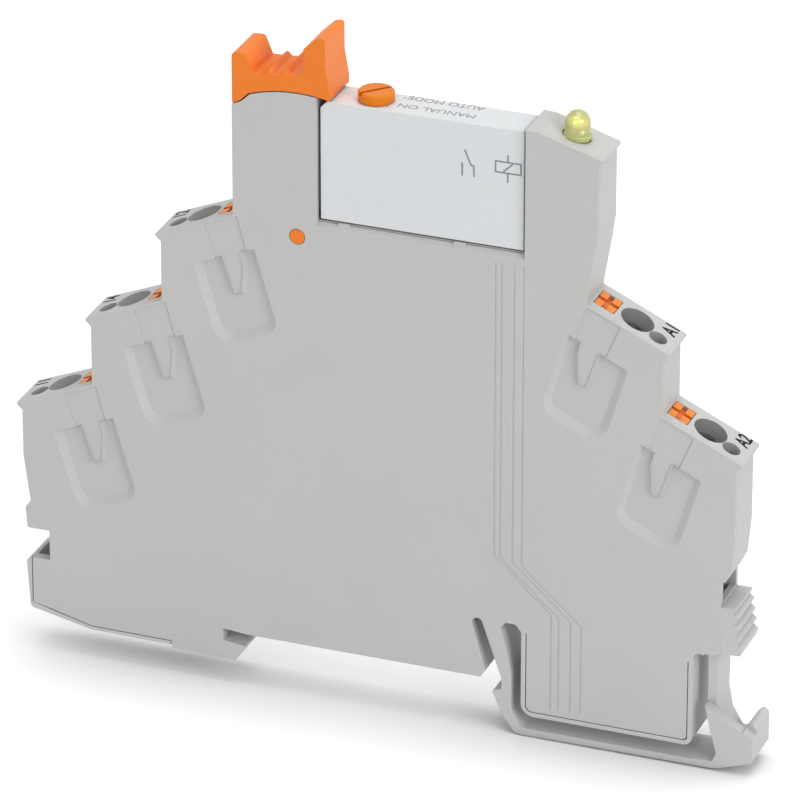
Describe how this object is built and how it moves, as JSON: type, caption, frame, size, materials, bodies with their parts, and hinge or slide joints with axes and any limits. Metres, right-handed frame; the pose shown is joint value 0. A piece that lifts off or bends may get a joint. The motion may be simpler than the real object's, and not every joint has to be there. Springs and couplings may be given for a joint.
{
  "type": "relay module",
  "caption": "Slim rail-mounted interface relay module with stepped push-in terminals, plug-in relay, retaining lever and spring foot.",
  "frame": {"origin": "centre of the rail seat, halfway through the thickness of the module", "axes": "+X along the module towards the spring foot, +Y from the labelled side to the plain side, +Z away from the rail"},
  "size_m": [0.0932, 0.0062, 0.0858],
  "materials": {
    "housing_plastic": "fine moulded texture",
    "button_plastic": "smooth moulded",
    "lever_plastic": "satin moulded",
    "knob_plastic": "smooth moulded",
    "relay_plastic": "smooth moulded",
    "relay_base_plastic": "smooth moulded",
    "bobbin_plastic": "smooth moulded",
    "enamelled_wire": "enamelled copper",
    "soft_iron": "nickel plated",
    "contact_copper": "tinned copper alloy",
    "tinned_wire": "tinned",
    "spring_steel": "bright rolled",
    "board": "solder mask",
    "black_ceramic": "moulded",
    "lamp_plastic": "clear tinted"
  },
  "bodies": {
    "housing": {"rear_housing": "housing_plastic", "side_cover": "housing_plastic", "busbar_12": "contact_copper", "busbar_14": "contact_copper", "busbar_11": "contact_copper", "busbar_a1": "contact_copper", "busbar_a2": "contact_copper", "clamp_spring_12": "spring_steel", "clamp_spring_14": "spring_steel", "clamp_spring_11": "spring_steel", "clamp_spring_a1": "spring_steel", "clamp_spring_a2": "spring_steel", "circuit_board": "board", "coil_socket_1": "contact_copper", "coil_socket_2": "contact_copper", "status_led": "lamp_plastic", "led_leads": "tinned_wire", "series_resistor": "black_ceramic", "bridge_rectifier": "black_ceramic"},
    "lever": {"retaining_lever": "lever_plastic"},
    "relay": {"relay_case": "relay_plastic", "relay_base": "relay_base_plastic", "coil_bobbin": "bobbin_plastic", "coil_winding": "enamelled_wire", "coil_core": "soft_iron", "yoke": "soft_iron", "common_terminal": "contact_copper", "fixed_contact_nc": "contact_copper", "fixed_contact_no": "contact_copper", "coil_pin_1": "tinned_wire", "coil_pin_2": "tinned_wire"},
    "knob": {"mode_knob": "knob_plastic"},
    "armature_plate": {"armature": "soft_iron"},
    "card": {"contact_card": "bobbin_plastic"},
    "contact_blade": {"moving_contact": "contact_copper"},
    "button_12": {"release_button_12": "button_plastic"},
    "button_14": {"release_button_14": "button_plastic"},
    "button_11": {"release_button_11": "button_plastic"},
    "button_a1": {"release_button_a1": "button_plastic"},
    "button_a2": {"release_button_a2": "button_plastic"}
  },
  "joints": [
    {"name": "lever_hinge", "type": "hinge", "parent": "housing", "child": "lever", "pos_m": [-0.0081, 0, 0.0536], "axis": [0, -1, 0], "range_deg": [0, 18]},
    {"name": "relay_slide", "type": "slide", "parent": "housing", "child": "relay", "axis": [0, 0, 1], "range_m": [0, 0.0016]},
    {"name": "knob_turn", "type": "hinge", "parent": "relay", "child": "knob", "pos_m": [0.00065, -0.0001, 0.07115], "axis": [0, 0, 1], "range_deg": [0, 44]},
    {"name": "armature_hinge", "type": "hinge", "parent": "relay", "child": "armature_plate", "pos_m": [0.00695, -0.0001, 0.06645], "axis": [0, -1, 0], "range_deg": [0, 4], "stiffness_Nm_per_rad": 0.004, "springref_deg": -2.86},
    {"name": "card_slide", "type": "slide", "parent": "relay", "child": "card", "axis": [1, 0, 0], "range_m": [0, 0.00021]},
    {"name": "contact_flex", "type": "hinge", "parent": "relay", "child": "contact_blade", "pos_m": [0.0031, -0.0001, 0.05835], "axis": [0, 1, 0], "range_deg": [0, 2.3]},
    {"name": "button_press_12", "type": "slide", "parent": "housing", "child": "button_12", "axis": [0.3746, 0, -0.9272], "range_m": [0, 0.0014], "stiffness_N_per_m": 400, "springref_m": -0.0006, "deforming": ["clamp_spring_12"]},
    {"name": "button_press_14", "type": "slide", "parent": "housing", "child": "button_14", "axis": [0.3746, 0, -0.9272], "range_m": [0, 0.0014], "stiffness_N_per_m": 400, "springref_m": -0.0006, "deforming": ["clamp_spring_14"]},
    {"name": "button_press_11", "type": "slide", "parent": "housing", "child": "button_11", "axis": [0.3746, 0, -0.9272], "range_m": [0, 0.0014], "stiffness_N_per_m": 400, "springref_m": -0.0006, "deforming": ["clamp_spring_11"]},
    {"name": "button_press_a1", "type": "slide", "parent": "housing", "child": "button_a1", "axis": [-0.4226, 0, -0.9063], "range_m": [0, 0.0014], "stiffness_N_per_m": 400, "springref_m": -0.0006, "deforming": ["clamp_spring_a1"]},
    {"name": "button_press_a2", "type": "slide", "parent": "housing", "child": "button_a2", "axis": [-0.4226, 0, -0.9063], "range_m": [0, 0.0014], "stiffness_N_per_m": 400, "springref_m": -0.0006, "deforming": ["clamp_spring_a2"]}
  ],
  "couplings": [
    {"joint": "lever_hinge", "follows": "relay_slide", "rad_per_m": 196.3},
    {"joint": "card_slide", "follows": "armature_hinge", "m_per_rad": 0.00295},
    {"joint": "contact_flex", "follows": "armature_hinge", "ratio": 0.573}
  ]
}
